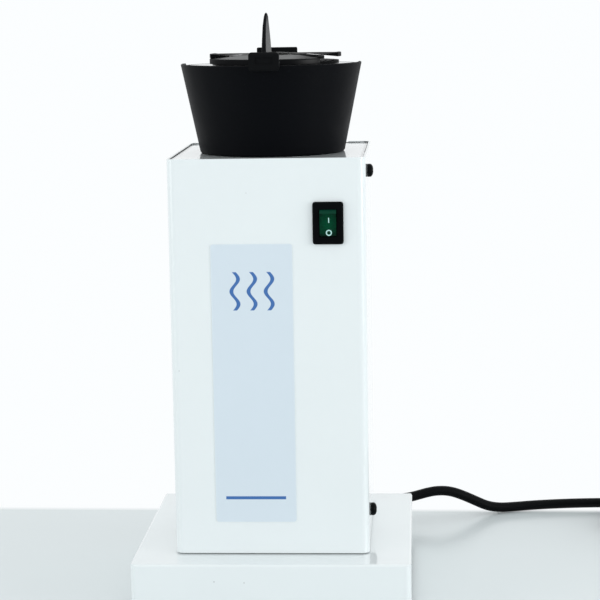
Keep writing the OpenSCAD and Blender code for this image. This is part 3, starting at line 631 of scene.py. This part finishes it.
def make_marks():
    """Ring for off on the rocker's lower flat, and bar for on on its upper flat."""
    ring = bmesh.new()
    bmesh.ops.create_circle(ring, cap_ends=True, radius=1.5 * MM, segments=48)
    bmesh.ops.inset_region(ring, faces=ring.faces[:], thickness=0.55 * MM, use_boundary=True,
                           use_even_offset=True)
    middle = max(ring.faces, key=lambda f: f.calc_area())
    bmesh.ops.delete(ring, geom=[middle], context="FACES")
    raised = bmesh.ops.extrude_face_region(ring, geom=ring.faces[:])["geom"]
    bmesh.ops.translate(ring, verts=[v for v in raised if isinstance(v, bmesh.types.BMVert)],
                        vec=mm(0, 0, MARK_H))
    print_mark("off_mark", ring, OFF_Z, 0)
    bar = bmesh.new()
    bmesh.ops.create_cube(bar, size=1)
    bmesh.ops.scale(bar, verts=bar.verts, vec=mm(0.48, 2.7, 2 * MARK_H))
    upright = [e for e in bar.edges if abs(e.verts[0].co.z - e.verts[1].co.z) > 1e-6]
    soften(bar, upright, 0.15, 3)
    print_mark("on_mark", bar, ON_Z, LEAN)


# Table and light -------------------------------------------------------------------------------

WALL_WHITE = (0.97, 0.99, 1, 1)
# The table's rear line, in metres behind the middle: where it starts and ends, and its slope
LINE_START, LINE_END, LINE_SLOPE = 0.141, 0.148, 0.0195


def make_table():
    """Pale table; past its line it is as white as the wall."""
    bm = bmesh.new()
    bmesh.ops.create_grid(bm, x_segments=1, y_segments=1, size=3)
    mesh = to_mesh("table", bm)
    top = Finish("table_top", (0.73, 0.79, 0.8), Specular_IOR_Level=0.4)
    x, y, _ = top.axes()
    top.feed("Roughness", top.noise(60, 2) * 0.1 + 0.16)
    top.feed("Base Color", top.shades(top.noise(200, 2), 0.01))
    seen = top.node("ShaderNodeLightPath", {}, {}, out="Is Camera Ray")
    mirrored = top.node("ShaderNodeLightPath", {}, {}, out="Is Glossy Ray")
    past = (y + x * LINE_SLOPE).rise(LINE_START, LINE_END)
    white = top.node("ShaderNodeEmission", {}, {"Color": WALL_WHITE, "Strength": 1.0})
    mixed = top.node("ShaderNodeMixShader", {}, {
        0: seen.greater(mirrored) * past, 1: Signal(top, top.shader.outputs[0]), 2: white})
    top.tree.links.new(mixed.socket, top.tree.nodes["Material Output"].inputs[0])
    mesh.materials.append(top.material)
    place("table", mesh)


def lamp(name, at, power):
    """Round soft lamp, a metre across, that is turned to the warmer's middle."""
    light = bpy.data.lights.new(name, "AREA")
    light.shape, light.size, light.energy = "DISK", 1.0, power
    way = Vector((0, 0, 0.15)) - Vector(at)
    place(name, light, Matrix.Translation(at) @ way.to_track_quat("-Z", "Y").to_matrix().to_4x4())


def make_light():
    """Soft even light, a brighter white wall behind it, and three lamps."""
    world = bpy.data.worlds.new("room")
    bpy.context.scene.world = world
    world.use_nodes = True
    tree = world.node_tree
    tree.nodes.clear()
    out = tree.nodes.new("ShaderNodeOutputWorld")
    mix = tree.nodes.new("ShaderNodeMixShader")
    path = tree.nodes.new("ShaderNodeLightPath")
    room, wall = [tree.nodes.new("ShaderNodeBackground") for _ in range(2)]
    room.inputs["Color"].default_value = wall.inputs["Color"].default_value = WALL_WHITE
    room.inputs["Strength"].default_value = 0.825
    bright = tree.nodes.new("ShaderNodeMath")
    bright.operation = "MAXIMUM"
    for start, end in (
            (path.outputs["Is Camera Ray"], bright.inputs[0]),
            (path.outputs["Is Glossy Ray"], bright.inputs[1]),
            (bright.outputs[0], mix.inputs[0]), (room.outputs[0], mix.inputs[1]),
            (wall.outputs[0], mix.inputs[2]), (mix.outputs[0], out.inputs[0])):
        tree.links.new(start, end)
    lamp("key", (1.6, -0.8, 0.35), 10.5)
    lamp("fill", (-1.3, -0.8, 0.4), 5)
    lamp("back", (0.2, 1.2, 1.2), 1.5)


# Finishes on the nodes -------------------------------------------------------------------------

NODE_FINISH = {
    "white_paint": "base_shell tower_cover rear_panel top_plate",
    "zinc_sheet": "base_plate chassis_frame fan_motor air_funnel heater_tube heater_bands",
    "black_rubber": "rubber_feet",
    "grey_seal": "tower_gasket",
    "cream_plastic": "terminal_block",
    "brass_part": "earth_screw switch_terminals",
    "steel_screw": "tower_screws motor_shaft",
    "label_film": "label_plate",
    "switch_black": "switch_housing",
    "rocker_green": "switch_rocker",
    "dark_plastic": "fan_shroud fan_impeller",
    "mica_board": "mica_cross",
    "heater_wire": "heating_wire",
    "cutout_brown": "thermal_cutout",
    "collar_steel": "outlet_collar",
    "cup_black": "nozzle_cup",
    "wing_black": "lid_wings lid_pivot",
    "disc_black": "lid_base",
    "shutter_black": "lid_shutter",
    "cord_black": "cord_relief relief_nut plug_body",
    "pin_nickel": "plug_pins",
}


def dress_nodes():
    """Gives every node that is shown as it is its finish."""
    for finish, nodes in NODE_FINISH.items():
        for name in nodes.split():
            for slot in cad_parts[name].material_slots:
                slot.material = FINISHES[finish]


make_camera()
FINISHES = make_finishes()
make_cord()
dress_nodes()
make_screws()
make_marks()
make_table()
make_light()
bpy.context.scene.view_settings.view_transform = "Standard"
